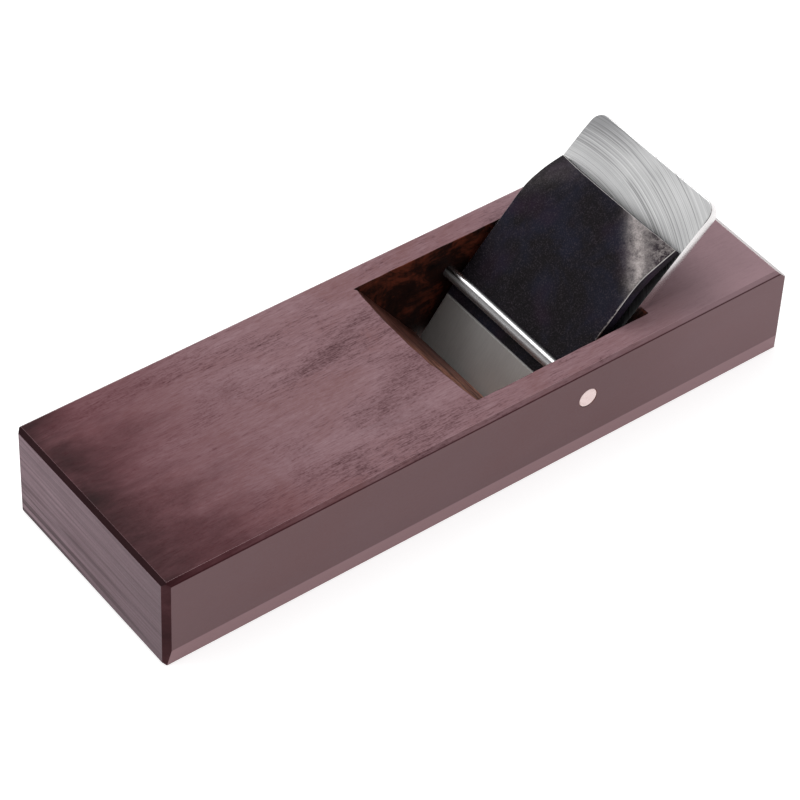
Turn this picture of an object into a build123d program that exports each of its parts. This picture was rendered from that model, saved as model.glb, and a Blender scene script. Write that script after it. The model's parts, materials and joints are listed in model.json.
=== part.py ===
from build123d import *
import math
import os

# A small pull plane: a hardwood block with an open throat, an iron lying on a sloped bed, a chip
# breaker on the iron, and a steel bar across the throat that holds both of them down.
# Millimetres. X runs along the block (the cutting edge faces -X), Y across it and Z up from the sole.
# The origin is the centre of the sole.

# ---- Block -------------------------------------------------------------------------------------
block_length = 186.0
block_width = 62.0
block_height = 27.5
top_chamfer = 1.1
corner_chamfer = 1.65
heel_top_chamfer = 4.1
sole_end_chamfer = 0.8
sole_bevel_height = 5.2
sole_bevel_depth = 0.8

# ---- Throat ------------------------------------------------------------------------------------
throat_width = 47.3
throat_front_x = 0.2
mouth_gap = 0.5
mouth_wall_height = 3.2

# ---- Iron --------------------------------------------------------------------------------------
bed_angle = 43.0
edge_x = 19.3
edge_height = 0.1
iron_length = 73.8
iron_width = 44.8
iron_thickness = 3.0
grind_angle = 28.0
iron_corner_radius = 3.6
iron_edge_break = 0.35
bed_clearance = 0.03

# ---- Chip breaker ------------------------------------------------------------------------------
setback = 1.2
land_end = 3.2
breaker_length = 58.4
breaker_thickness = 3.2
breaker_tilt = 4.0
breaker_half_width = 21.9
nose_half_width = 22.4
polish_half_width = 21.7
polish_end = 14.5
nose_height = 0.5
ear_along_side = 12.0
ear_along_top = 11.5
fold_radius = 4.0

# ---- Pressure bar and its plugs ----------------------------------------------------------------
bar_radius = 1.75
bar_clearance = 0.08
bar_distance = 19.5
plug_radius = 2.6
plug_depth = 3.5
plug_edge_break = 0.15
bar_edge_break = 0.3

# ---- Worked out --------------------------------------------------------------------------------
slope = math.radians(bed_angle)
tilt = math.radians(breaker_tilt)
breaker_top = setback + breaker_length
iron_plane = Plane(
    origin=(edge_x, 0, edge_height),
    x_dir=(math.cos(slope), 0, math.sin(slope)),
    z_dir=(-math.sin(slope), 0, math.cos(slope)),
)
bed_drop = (iron_thickness + bed_clearance) / math.sin(slope)
beyond = 3.0


def bed_x(height):
    """X of the bed at a height above the sole."""
    return edge_x + (height - edge_height) / math.tan(slope) + bed_drop


def underside(distance):
    """Gap between the iron's face and the breaker's underside, at a distance from the edge."""
    return bed_clearance + (distance - land_end) * math.tan(tilt)


def upperside(distance):
    """Height of the breaker's upper face over the iron's face, at a distance from the edge."""
    return underside(distance) + breaker_thickness / math.cos(tilt)


def on_iron(distance, across, height):
    """A point given along the iron from its edge, across it, and above its face."""
    return iron_plane.from_local_coords(Vector(distance, across, height))


def plane_through(first, second, third, lift):
    """The plane through three points, facing away from the iron and lifted along its normal."""
    normal = (second - first).cross(third - first).normalized()
    if normal.dot(iron_plane.z_dir) < 0:
        normal = normal * -1
    return Plane(origin=first + normal * lift, z_dir=normal)


def plate_plane(lift):
    """The breaker's main face, lifted from its underside."""
    near = on_iron(land_end, -1, underside(land_end))
    far = on_iron(land_end, 1, underside(land_end))
    upper = on_iron(breaker_top, 0, underside(breaker_top))
    return plane_through(near, far, upper, lift)


def ear_plane(side, lift):
    """One bent corner of the breaker, lifted from its underside. side is -1 or 1."""
    fold_low = on_iron(breaker_top - ear_along_side, side * breaker_half_width,
                       underside(breaker_top - ear_along_side))
    fold_high = on_iron(breaker_top, side * (breaker_half_width - ear_along_top),
                        underside(breaker_top))
    tip = on_iron(breaker_top, side * breaker_half_width, bed_clearance)
    return plane_through(fold_low, fold_high, tip, lift)


def polish_plane():
    """The ground face that runs down to the breaker's nose."""
    near = on_iron(setback, -1, nose_height)
    far = on_iron(setback, 1, nose_height)
    upper = on_iron(polish_end, 0, upperside(polish_end))
    return plane_through(near, far, upper, 0)


bar_lift = upperside(bar_distance) + (bar_radius + bar_clearance) / math.cos(tilt)
bar_centre = on_iron(bar_distance, 0, bar_lift)
print("bar centre", bar_centre)
print("bed meets the top at", bed_x(block_height), "and the sole at", bed_x(0))

# ---- Block: three outlines that meet in one solid, then the throat and the holes ----------------
half_length = block_length / 2
half_width = block_width / 2
mouth_front_x = edge_x - mouth_gap

with BuildPart() as body:
    # Cross-section: broken top edges and the shallow bevels beside the sole.
    with BuildSketch(Plane.YZ) as cross_section:
        with BuildLine():
            Polyline(
                (0, 0),
                (half_width - sole_bevel_depth, 0),
                (half_width, sole_bevel_height),
                (half_width, block_height - top_chamfer),
                (half_width - top_chamfer, block_height),
                (0, block_height),
                close=True,
            )
        make_face()
        mirror(about=Plane.YZ)
    extrude(amount=half_length, both=True)

    # Plan: the four upright corners.
    with BuildSketch(Plane.XY) as plan:
        Rectangle(block_length, block_width)
        chamfer(plan.vertices(), corner_chamfer)
    extrude(amount=block_height, mode=Mode.INTERSECT)

    # Side view: the broken edges at both ends. The heel's top edge is cut back furthest.
    with BuildSketch(Plane.XZ) as side_view:
        with BuildLine():
            Polyline(
                (sole_end_chamfer - half_length, 0),
                (half_length - sole_end_chamfer, 0),
                (half_length, sole_end_chamfer),
                (half_length, block_height - heel_top_chamfer),
                (half_length - heel_top_chamfer, block_height),
                (top_chamfer - half_length, block_height),
                (-half_length, block_height - top_chamfer),
                (-half_length, sole_end_chamfer),
                close=True,
            )
        make_face()
    extrude(amount=half_width, both=True, mode=Mode.INTERSECT)

    # Throat: sloped front wall, upright mouth wall, and the bed under the iron.
    with BuildSketch(Plane.XZ) as throat:
        with BuildLine():
            Polyline(
                (throat_front_x, block_height + beyond),
                (throat_front_x, block_height),
                (mouth_front_x, mouth_wall_height),
                (mouth_front_x, -beyond),
                (bed_x(0), -beyond),
                (bed_x(0), 0),
                (bed_x(block_height), block_height),
                (bed_x(block_height), block_height + beyond),
                close=True,
            )
        make_face()
    extrude(amount=throat_width / 2, both=True, mode=Mode.SUBTRACT)

    # Hole for the pressure bar, and a wider pocket for a plug at each side.
    with BuildSketch(Plane.XZ) as bar_hole:
        with Locations((bar_centre.X, bar_centre.Z)):
            Circle(bar_radius)
    extrude(amount=half_width - plug_depth, both=True, mode=Mode.SUBTRACT)
    for side in (-1, 1):
        with BuildSketch(Plane.XZ.offset(-side * (half_width - plug_depth))) as pocket:
            with Locations((bar_centre.X, bar_centre.Z)):
                Circle(plug_radius)
        extrude(amount=-side * plug_depth, mode=Mode.SUBTRACT)

body.part.label = "body"

# ---- Iron: ground to an edge on its back, rounded at its top corners -----------------------------
grind = math.radians(grind_angle)
grind_run = iron_thickness / math.tan(grind)

with BuildPart() as blade:
    with BuildSketch(Plane(origin=iron_plane.origin, x_dir=iron_plane.x_dir, z_dir=(0, -1, 0))):
        with BuildLine():
            Polyline(
                (0, 0),
                (iron_length, 0),
                (iron_length, -iron_thickness),
                (grind_run, -iron_thickness),
                close=True,
            )
        make_face()
    extrude(amount=iron_width / 2, both=True)
    top_face = blade.faces().sort_by(Axis(iron_plane.origin, iron_plane.x_dir))[-1]
    upright = top_face.edges().sort_by(Axis.Y)
    fillet([upright[0], upright[-1]], iron_corner_radius)
    front_face = blade.faces().sort_by(Axis(iron_plane.origin, iron_plane.z_dir))[-1]
    long_edges = front_face.edges().filter_by(lambda edge: edge.center().Z > edge_height + 1)
    chamfer(long_edges, iron_edge_break)

blade.part.label = "blade"

# ---- Chip breaker: the space under its upper faces, less the space under its lower faces ---------
with BuildPart() as hollow:
    with BuildSketch(iron_plane):
        with Locations(((land_end + breaker_top) / 2 + beyond, 0)):
            Rectangle(breaker_top - land_end + 2 * beyond, 2 * breaker_half_width + 4 * beyond)
    extrude(amount=4 * breaker_thickness, both=True)
    for cut in (plate_plane(0), ear_plane(-1, 0), ear_plane(1, 0)):
        split(bisect_by=cut, keep=Keep.BOTTOM)

with BuildPart() as chip_breaker:
    with BuildSketch(iron_plane.offset(bed_clearance)):
        with BuildLine():
            Polyline(
                (setback, 0),
                (setback, nose_half_width),
                (polish_end, polish_half_width),
                (polish_end + breaker_thickness, breaker_half_width),
                (breaker_top, breaker_half_width),
                (breaker_top, 0),
                close=True,
            )
        make_face()
        mirror(about=Plane.XZ)
    extrude(amount=4 * breaker_thickness)
    for cut in (
        plate_plane(breaker_thickness),
        ear_plane(-1, breaker_thickness),
        ear_plane(1, breaker_thickness),
        polish_plane(),
    ):
        split(bisect_by=cut, keep=Keep.BOTTOM)
    for side in (-1, 1):
        fold_middle = on_iron(
            breaker_top - ear_along_side / 2,
            side * (breaker_half_width - ear_along_top / 2),
            upperside(breaker_top - ear_along_side / 2),
        )
        fold = chip_breaker.edges().sort_by_distance(fold_middle)[0]
        fillet(fold, fold_radius)
    add(hollow.part, mode=Mode.SUBTRACT)

chip_breaker.part.label = "chip_breaker"

# ---- Pressure bar across the throat, and the plugs over its two ends -----------------------------
with BuildPart() as pressure_bar:
    with BuildSketch(Plane.XZ):
        with Locations((bar_centre.X, bar_centre.Z)):
            Circle(bar_radius)
    extrude(amount=half_width - plug_depth, both=True)
    chamfer(pressure_bar.edges().filter_by(GeomType.CIRCLE), bar_edge_break)

pressure_bar.part.label = "pressure_bar"


def make_plug(side):
    """A round plug, flush with the block's side. side is -1 or 1."""
    with BuildPart() as plug:
        with BuildSketch(Plane.XZ.offset(-side * (half_width - plug_depth))):
            with Locations((bar_centre.X, bar_centre.Z)):
                Circle(plug_radius)
        extrude(amount=-side * plug_depth)
        outer_face = plug.faces().sort_by(Axis.Y)[0 if side < 0 else -1]
        chamfer(outer_face.edges(), plug_edge_break)
    return plug.part


near_plug = make_plug(-1)
near_plug.label = "near_plug"
far_plug = make_plug(1)
far_plug.label = "far_plug"

# ---- Written files -------------------------------------------------------------------------------
os.makedirs("parts", exist_ok=True)
export_step(body.part, "parts/body.step")
export_step(blade.part, "parts/blade.step")
export_step(chip_breaker.part, "parts/chip_breaker.step")
export_step(pressure_bar.part, "parts/pressure_bar.step")
export_step(near_plug, "parts/near_plug.step")
export_step(far_plug, "parts/far_plug.step")
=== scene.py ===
"""The looks of a small hardwood pull plane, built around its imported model.

Metres throughout. X runs along the block, Y across it and Z up from the sole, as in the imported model.
"""

import json
import logging
import math
from dataclasses import dataclass, field
from enum import Enum
from typing import Any, Callable, Sequence

import bmesh
import bpy
import numpy as np
from mathutils import Matrix, Vector, noise


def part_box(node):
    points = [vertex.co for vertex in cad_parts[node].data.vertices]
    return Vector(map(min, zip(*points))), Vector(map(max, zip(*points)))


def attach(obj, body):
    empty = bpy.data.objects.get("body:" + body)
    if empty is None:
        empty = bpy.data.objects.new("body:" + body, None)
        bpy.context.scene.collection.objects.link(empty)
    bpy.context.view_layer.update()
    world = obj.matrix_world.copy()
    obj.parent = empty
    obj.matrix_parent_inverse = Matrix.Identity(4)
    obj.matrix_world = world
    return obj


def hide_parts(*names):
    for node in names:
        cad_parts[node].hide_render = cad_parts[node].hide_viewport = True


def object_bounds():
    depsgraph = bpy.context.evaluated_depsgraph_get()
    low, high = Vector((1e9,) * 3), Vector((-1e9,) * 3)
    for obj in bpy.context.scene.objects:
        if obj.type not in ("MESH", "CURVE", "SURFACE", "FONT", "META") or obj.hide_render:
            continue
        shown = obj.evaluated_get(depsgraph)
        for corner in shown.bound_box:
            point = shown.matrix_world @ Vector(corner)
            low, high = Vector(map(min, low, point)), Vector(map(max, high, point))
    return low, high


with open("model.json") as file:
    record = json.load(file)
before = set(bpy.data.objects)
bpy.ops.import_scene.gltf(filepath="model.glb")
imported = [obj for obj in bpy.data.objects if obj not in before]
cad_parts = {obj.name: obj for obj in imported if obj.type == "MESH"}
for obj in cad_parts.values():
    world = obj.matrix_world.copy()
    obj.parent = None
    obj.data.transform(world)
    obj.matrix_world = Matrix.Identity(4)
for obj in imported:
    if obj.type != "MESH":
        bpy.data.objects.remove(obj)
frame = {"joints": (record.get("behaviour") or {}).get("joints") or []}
CAD_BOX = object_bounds()
LOG = logging.getLogger("plane")
MM = 0.001
MERGE = 1e-7
# Where beside a bend of the breaker the rubbing peaks, and how widely it spreads, in fold reaches.
FOLD_PEAK = 0.10
FOLD_SPREAD = 0.85
Colour = tuple[float, float, float]
Triple = tuple[float, float, float]

# How far a surface's direction follows an axis, from not at all to fully, for the masks on it.
FLAT = (0.74, 0.90)
SLOPED = (0.30, 0.60)
RIM_IN = (0.86, 0.91)
RIM_OUT = (0.985, 0.996)


def toned(colour: Colour, share: float) -> Colour:
    """A colour made darker or lighter by share."""
    return tuple(part * share for part in colour)


# ---- Sockets and node trees --------------------------------------------------------------------


class Sock:
    """A node's output socket that Python's arithmetic works on."""

    def __init__(self, tree: "Tree", socket: bpy.types.NodeSocket) -> None:
        """Wraps socket, which belongs to tree."""
        self.tree = tree
        self.socket = socket

    def __add__(self, other: Any) -> "Sock":
        """self + other."""
        return self.tree.math("ADD", self, other)

    __radd__ = __add__

    def __sub__(self, other: Any) -> "Sock":
        """self - other."""
        return self.tree.math("SUBTRACT", self, other)

    def __rsub__(self, other: Any) -> "Sock":
        """other - self."""
        return self.tree.math("SUBTRACT", other, self)

    def __mul__(self, other: Any) -> "Sock":
        """self * other."""
        return self.tree.math("MULTIPLY", self, other)

    __rmul__ = __mul__

    def __pow__(self, other: Any) -> "Sock":
        """self ** other."""
        return self.tree.math("POWER", self, other)

    def __abs__(self) -> "Sock":
        """Magnitude of self."""
        return self.tree.math("ABSOLUTE", self)

    def larger(self, other: Any) -> "Sock":
        """The larger of self and other."""
        return self.tree.math("MAXIMUM", self, other)

    def step(self, low: float, high: float) -> "Sock":
        """A smooth step over self.

        Args:
            low: Where the step is 0.
            high: Where it is 1. The step falls when low is the larger.

        Returns:
            The step, from 0 to 1.
        """
        flip = low > high
        inputs = {"Value": self, 1: min(low, high), 2: max(low, high)}
        risen = self.tree.node("ShaderNodeMapRange", {"interpolation_type": "SMOOTHSTEP"}, inputs)
        return 1.0 - risen if flip else risen


class Tree:
    """Builds one node tree: a material's, the world's or a shape's."""

    def __init__(self, tree: bpy.types.NodeTree) -> None:
        """Empties tree and gets ready to fill it."""
        tree.nodes.clear()
        self.tree = tree

    def raw(self, kind: str, settings: dict[str, Any], inputs: dict[Any, Any]) -> bpy.types.Node:
        """Adds one node.

        Args:
            kind: The node's type.
            settings: Its properties, which are set first. A ramp's "stops" are (place, colour) pairs.
            inputs: Values or links, by socket name or number.

        Returns:
            The node itself.
        """
        node = self.tree.nodes.new(kind)
        for name, value in settings.items():
            if name == "stops":
                ramp = node.color_ramp.elements
                while len(ramp) < len(value):
                    ramp.new(1.0)
                for element, (place, colour) in zip(ramp, value):
                    element.position = place
                    element.color = (*colour, 1.0)
            else:
                setattr(node, name, value)
        for name, value in inputs.items():
            if isinstance(value, Sock):
                self.tree.links.new(value.socket, node.inputs[name])
            else:
                node.inputs[name].default_value = value
        return node

    def node(self, kind: str, settings: dict[str, Any], inputs: dict[Any, Any], output: Any = 0) -> Sock:
        """Adds one node and returns one of its outputs, by name or number."""
        return Sock(self, self.raw(kind, settings, inputs).outputs[output])

    def math(self, operation: str, *values: Any) -> Sock:
        """A Math node's result."""
        return self.node("ShaderNodeMath", {"operation": operation}, dict(enumerate(values)))

    def place(self) -> Sock:
        """The piece's own coordinates, in metres."""
        return self.node("ShaderNodeTexCoord", {}, {}, "Object")

    def facing(self) -> tuple[Sock, Sock, Sock]:
        """The three parts of the surface's own direction."""
        return self.split(self.node("ShaderNodeTexCoord", {}, {}, "Normal"))

    def attribute(self, name: str) -> Sock:
        """A number that the piece's mesh holds at each point."""
        return self.node("ShaderNodeAttribute", {"attribute_name": name}, {}, "Fac")

    def mapped(self, vector: Sock, scale: Triple = (1, 1, 1), turn: Triple = (0, 0, 0),
               shift: Triple = (0, 0, 0)) -> Sock:
        """vector scaled, turned and shifted by a Mapping node."""
        inputs = {"Vector": vector, "Location": shift, "Rotation": turn, "Scale": scale}
        return self.node("ShaderNodeMapping", {}, inputs)

    def split(self, vector: Sock) -> tuple[Sock, Sock, Sock]:
        """The three parts of a vector."""
        node = self.raw("ShaderNodeSeparateXYZ", {}, {0: vector})
        return tuple(Sock(self, output) for output in node.outputs)

    def noise(self, vector: Sock, scale: Triple, detail: float, rough: float, warp: float = 0.0,
              turn: Triple = (0, 0, 0), shift: Triple = (0, 0, 0)) -> Sock:
        """Adds noise.

        Args:
            vector: Where it's read.
            scale: How much finer than metres it is along each axis.
            detail: How many finer layers it has.
            rough: How strong they are.
            warp: How far it's distorted.
            turn: Angles that vector is turned by.
            shift: How far vector is shifted after that.

        Returns:
            The noise, between 0 and 1.
        """
        inputs = {"Vector": self.mapped(vector, scale, turn, shift), "Scale": 1.0, "Detail": detail,
                  "Roughness": rough, "Distortion": warp}
        return self.node("ShaderNodeTexNoise", {}, inputs)

    def noise_line(self, value: Sock, scale: float, detail: float, rough: float) -> Sock:
        """Noise between 0 and 1 along one number."""
        inputs = {"W": value, "Scale": scale, "Detail": detail, "Roughness": rough}
        return self.node("ShaderNodeTexNoise", {"noise_dimensions": "1D"}, inputs)

    def ramp(self, value: Sock, *stops: tuple[float, Colour]) -> Sock:
        """A colour picked by value from the stops."""
        return self.node("ShaderNodeValToRGB", {"stops": stops}, {0: value})

    def mix(self, amount: Any, first: Any, second: Any) -> Sock:
        """Mixes two colours.

        Args:
            amount: How much of the second colour shows, as a number or a socket.
            first: A colour, as a socket or a triple.
            second: Another.

        Returns:
            The mixed colour.
        """
        below, above = (c if isinstance(c, Sock) else (*c, 1.0) for c in (first, second))
        return self.node("ShaderNodeMix", {"data_type": "RGBA"}, {0: amount, 6: below, 7: above}, 2)

    def bump(self, height: Sock, depth: float, strength: float) -> Sock:
        """A bumped normal. depth is what a height of 1 stands for, in metres."""
        inputs = {"Height": height, "Distance": depth, "Strength": strength}
        return self.node("ShaderNodeBump", {}, inputs)


# ---- Finishes ----------------------------------------------------------------------------------


@dataclass(frozen=True)
class Finish:
    """A surface finish: what every finish shares."""

    name: str
    roughness: float = 0.5
    metallic: float = 0.0
    coat_roughness: float = 0.2
    specular: float = 0.5
    glow: float = 0.0

    def paint(self, tree: Tree) -> dict[str, Sock]:
        """The sockets that vary over the surface, by the shader's input name."""
        raise NotImplementedError

    def material(self) -> bpy.types.Material:
        """Builds the material.

        Returns:
            The material, with its even values on the shader and the painted ones linked to it.
        """
        made = bpy.data.materials.new(self.name)
        made.use_nodes = True
        tree = Tree(made.node_tree)
        inputs = {
            "Roughness": self.roughness,
            "Metallic": self.metallic,
            "Coat Roughness": self.coat_roughness,
            "Specular IOR Level": self.specular,
            "Emission Strength": self.glow,
        }
        inputs.update(self.paint(tree))
        shader = tree.node("ShaderNodeBsdfPrincipled", {}, inputs)
        tree.raw("ShaderNodeOutputMaterial", {}, {"Surface": shader})
        return made


@dataclass(frozen=True)
class WoodGrain:
    """The patterns and masks that the parts of the oiled wood's finish share."""

    place: Sock
    where: tuple[Sock, Sock, Sock]
    facing: tuple[Sock, Sock, Sock]
    on_end: Sock
    on_side: Sock
    on_top: Sock
    fibres: Sock
    strands: Sock
    bands: Sock
    patches: Sock
    dots: Sock
    rings: Sock
    near: Sock
    heel: Sock


@dataclass(frozen=True)
class Rosewood(Finish):
    """Dense purple-brown hardwood with a rubbed oil finish. The grain runs along X.

    The wide faces show long fine fibres, the sides are close and smooth, and the ends show growth
    lines that lie level.
    """

    dark: Colour = (0.046, 0.011, 0.014)
    mid: Colour = (0.240, 0.134, 0.148)
    light: Colour = (0.350, 0.232, 0.255)
    side: Colour = (0.165, 0.098, 0.105)
    end: Colour = (0.232, 0.156, 0.180)
    red: Colour = (0.150, 0.052, 0.046)
    maroon: Colour = (0.128, 0.038, 0.046)
    ink: Colour = (0.018, 0.0050, 0.0065)
    # Pale tone of the painted highlight along the broken edges' rims.
    rim: Colour = (0.360, 0.235, 0.250)
    # Pale tone of the faint painted sheen on the heel's bevel.
    rubbed: Colour = (0.70, 0.62, 0.63)
    block_low: Triple = (0.0, 0.0, 0.0)
    block_high: Triple = (1.0, 1.0, 1.0)
    bevel_height: float = 0.0052
    # How far below the top the painted shade line on the chamfers lies.
    lip_foot: float = 0.00084
    front_fade: float = 0.070
    brink: float = 0.015
    # How far from the heel's end the painted light on the top and sides starts and is full.
    heel_from: float = 0.062
    heel_to: float = 0.018
    fibres_scale: Triple = (380, 2900, 2900)
    strands_scale: Triple = (75, 760, 760)
    bands_scale: Triple = (11, 70, 70)
    patches_scale: Triple = (30, 48, 48)
    dots_scale: Triple = (1300, 2100, 2100)
    mottle_scale: Triple = (46, 105, 105)
    rings_scale: Triple = (30, 30, 1700)
    streaks_scale: Triple = (40, 22, 640)
    relief: float = 0.00003
    relief_strength: float = 0.5

    def paint(self, tree: Tree) -> dict[str, Sock]:
        """Colour, roughness and relief of the oiled block.

        Args:
            tree: The material's tree.

        Returns:
            The shader's inputs that vary, by name.
        """
        grain = self.grain(tree)
        top, corner = self.top_colour(tree, grain)
        colour = tree.mix(grain.on_side, top, self.side_colour(tree, grain))
        colour = tree.mix(grain.on_end, colour, self.end_colour(tree, grain))
        colour, coat_and_painted_sheen = self.edge_colour(tree, grain, colour)
        pores = grain.fibres.step(0.42, 0.32) * grain.on_top
        height = grain.fibres * 0.7 + grain.dots * 0.3 - pores * 0.6 + grain.rings * grain.on_end * 0.8
        height = height * (grain.on_top * 0.85 + grain.on_end * 0.6 + 0.12)
        rough = self.roughness + (grain.strands - 0.5) * 0.12 + pores * 0.12
        return {
            "Base Color": colour,
            "Roughness": rough + grain.on_end * 0.08 - corner * 0.06,
            "Coat Weight": coat_and_painted_sheen * 0.72,
            "Normal": tree.bump(height, self.relief, self.relief_strength),
        }

    def grain(self, tree: Tree) -> WoodGrain:
        """Lays out the patterns and masks.

        Args:
            tree: The material's tree.

        Returns:
            The patterns and masks.
        """
        place = tree.place()
        where, facing = tree.split(place), tree.facing()
        on_end, on_side, on_top = (abs(part).step(*FLAT) for part in facing)
        return WoodGrain(
            place=place, where=where, facing=facing, on_end=on_end, on_side=on_side, on_top=on_top,
            fibres=tree.noise(place, self.fibres_scale, 3.0, 0.65),
            strands=tree.noise(place, self.strands_scale, 3.0, 0.6, 0.5),
            bands=tree.noise(place, self.bands_scale, 2.0, 0.5, 0.5),
            patches=tree.noise(place, self.patches_scale, 3.0, 0.6, 0.6),
            dots=tree.noise(place, self.dots_scale, 2.0, 0.6),
            rings=tree.noise(place, self.rings_scale, 3.0, 0.65, 0.25),
            near=where[1].step(self.block_high[1], self.block_low[1]),
            # Mask of the painted light towards the heel, which lightens where the iron shades the top.
            heel=where[0].step(self.block_high[0] - self.heel_from, self.block_high[0] - self.heel_to),
        )

    def top_colour(self, tree: Tree, grain: WoodGrain) -> tuple[Sock, Sock]:
        """Colour of the top: long fibres, darker and redder towards the front, and painted light towards
        the heel.

        Args:
            tree: The material's tree.
            grain: The patterns and masks.

        Returns:
            The colour, and how much the dark front corner shows.
        """
        fibres, strands, patches, dots = grain.fibres, grain.strands, grain.patches, grain.dots
        tone = 0.50 + (grain.bands - 0.5) * 0.55 + (strands - 0.5) * 0.45 + (fibres - 0.5) * 0.80
        tone = tone + (dots - 0.5) * 0.50 + (patches - 0.5) * 0.55
        top = tree.ramp(tone, (0.10, self.dark), (0.48, self.mid), (0.95, self.light))
        reddish = (patches * 0.7 + dots * 0.3).step(0.47, 0.66) * 0.50
        top = tree.mix(reddish, top, self.red)
        dusk = patches.step(0.50, 0.34) * strands.step(0.35, 0.60)
        top = tree.mix(dusk * 0.22, top, self.dark)
        along, run = grain.where[0], self.block_low[0]
        front = along.step(run + self.front_fade, run - 0.004)
        mottle = tree.noise(grain.place, self.mottle_scale, 4.0, 0.65, 0.2, shift=(0.7, 0.2, 0.4))
        top = tree.mix(front * (0.50 + mottle * 0.7), top, self.maroon)
        near_front = grain.near * 0.35 + 0.72
        corner = (front * near_front * 1.15 + (mottle - 0.5) * 1.3 - 0.22).step(0.25, 1.0)
        top = tree.mix(corner * (0.40 + dots * 0.5), top, self.dark)
        brink = along.step(run + self.brink, run + 0.001) * (0.55 + (mottle - 0.5) * 1.6).larger(0.0)
        top = tree.mix(brink * 1.1, top, toned(self.dark, 0.40))
        # Painted light: the top is lightened towards the heel, where the iron shades it.
        return tree.mix(grain.heel * 0.80, top, self.light), corner

    def end_colour(self, tree: Tree, grain: WoodGrain) -> Sock:
        """Colour of the ends: level growth lines with dark streaks low down, and painted shade towards
        the near side.

        Args:
            tree: The material's tree.
            grain: The patterns and masks.

        Returns:
            The colour.
        """
        low = grain.where[2].step(self.block_high[2] * 0.62, self.block_high[2] * 0.14)
        streaks = tree.noise(grain.place, self.streaks_scale, 2.0, 0.55).step(0.47, 0.62) * low
        ends = tree.mix(grain.rings.step(0.30, 0.72), toned(self.end, 0.62), toned(self.end, 1.12))
        ends = tree.mix(streaks * 0.62, ends, self.ink)
        # Painted shade: the end is darkened towards the near side.
        ends = tree.mix(grain.near * 0.56, ends, toned(self.end, 0.45))
        speckle = (grain.dots * 0.6 + grain.patches * 0.4).step(0.35, 0.65)
        return tree.mix(speckle * 0.18, ends, self.dark)

    def side_colour(self, tree: Tree, grain: WoodGrain) -> Sock:
        """Colour of the sides: close and smooth, with a painted reflection that makes the bevel beside
        the sole lighter, and painted light towards the heel.

        Args:
            tree: The material's tree.
            grain: The patterns and masks.

        Returns:
            The colour.
        """
        streak = (grain.fibres * 0.5 + grain.bands * 0.5).step(0.35, 0.65)
        sides = tree.mix(streak * 0.40, self.side, toned(self.side, 0.88))
        speckle = (grain.dots * 0.5 + grain.patches * 0.5).step(0.40, 0.66)
        sides = tree.mix(speckle * 0.16, sides, self.red)
        # Painted reflection: the bevel beside the sole is painted lighter, as if it caught the floor's
        # light.
        bevel = grain.where[2].step(self.bevel_height + 0.0001, self.bevel_height - 0.0001)
        painted_bevel_reflection = tree.mix(grain.fibres.step(0.30, 0.70) * 0.25, toned(self.side, 1.62),
                        toned(self.side, 1.42))
        sides = tree.mix(bevel, sides, painted_bevel_reflection)
        # Painted light: the sides are lightened a little towards the heel.
        return tree.mix(grain.heel * 0.16, sides, self.light)

    def edge_colour(self, tree: Tree, grain: WoodGrain, colour: Sock) -> tuple[Sock, Sock]:
        """Paints light and shade on the block's broken edges: painted shade in their slopes, a painted
        highlight along their rims and a faint painted sheen on the heel's bevel.

        Args:
            tree: The material's tree.
            grain: The patterns and masks.
            colour: The colour of the flat faces.

        Returns:
            The colour with its edges, and the mask of the heel's bevel, which gets a coat and a faint
            painted sheen.
        """
        facing, on_end = grain.facing, grain.on_end
        corners = 1.0 - grain.on_top.larger(grain.on_side).larger(on_end)
        raised = facing[2].step(*SLOPED)
        toward_front = facing[0] * -1.0
        foot = self.block_high[2] - self.lip_foot
        painted_shade_line = grain.where[2].step(foot + 0.0001, foot - 0.0001)
        # Painted shade: the chamfers that face up are darkened, strongly below a line just under the
        # top; the upright corner chamfers a little.
        colour = tree.mix(corners * raised * (0.10 + painted_shade_line * 0.78), colour, self.dark)
        colour = tree.mix(corners * (1.0 - raised) * 0.24, colour, self.dark)
        # Painted shade: the top chamfer across the front end is darkened nearly to black.
        front_chamfer_shade = corners * toward_front.step(0.45, 0.68) * raised
        colour = tree.mix(front_chamfer_shade * 0.9, colour, self.ink)
        # The heel's bevel gets a coat, and a faint painted sheen as a pale tone mixed into its colour.
        coat_and_painted_sheen = facing[0].step(*SLOPED) * raised * (1.0 - grain.on_top) * (1.0 - on_end)
        colour = tree.mix(coat_and_painted_sheen * 0.10, colour, self.rubbed)
        # Painted highlight: a pale line where the chamfers turn into the top and the ends, except along
        # the front.
        worn = (facing[2].step(*RIM_IN) - facing[2].step(*RIM_OUT)) * toward_front.step(0.30, 0.10)
        worn = worn.larger(abs(facing[0]).step(*RIM_IN) - abs(facing[0]).step(*RIM_OUT))
        return tree.mix(worn.larger(0.0) * (0.60 + grain.strands * 0.5), colour, self.rim), coat_and_painted_sheen


@dataclass(frozen=True)
class PaleWood(Finish):
    """Pale close-grained wood, sanded on its end grain."""

    tint: Colour = (0.95, 0.76, 0.74)
    shade: Colour = (0.80, 0.58, 0.56)
    speckle_scale: Triple = (2600, 500, 2600)
    cloud_scale: Triple = (420, 300, 700)
    relief: float = 0.00004
    relief_strength: float = 0.6

    def paint(self, tree: Tree) -> dict[str, Sock]:
        """Colour, roughness and relief.

        Args:
            tree: The material's tree.

        Returns:
            The shader's inputs that vary, by name.
        """
        place = tree.place()
        speckle = tree.noise(place, self.speckle_scale, 2.0, 0.6)
        cloud = tree.noise(place, self.cloud_scale, 2.0, 0.5)
        colour = tree.ramp(speckle * 0.5 + cloud * 0.5, (0.32, self.shade), (0.55, self.tint))
        return {
            "Base Color": colour,
            "Roughness": self.roughness + (cloud - 0.5) * 0.2,
            "Normal": tree.bump(speckle, self.relief, self.relief_strength),
        }


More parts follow.
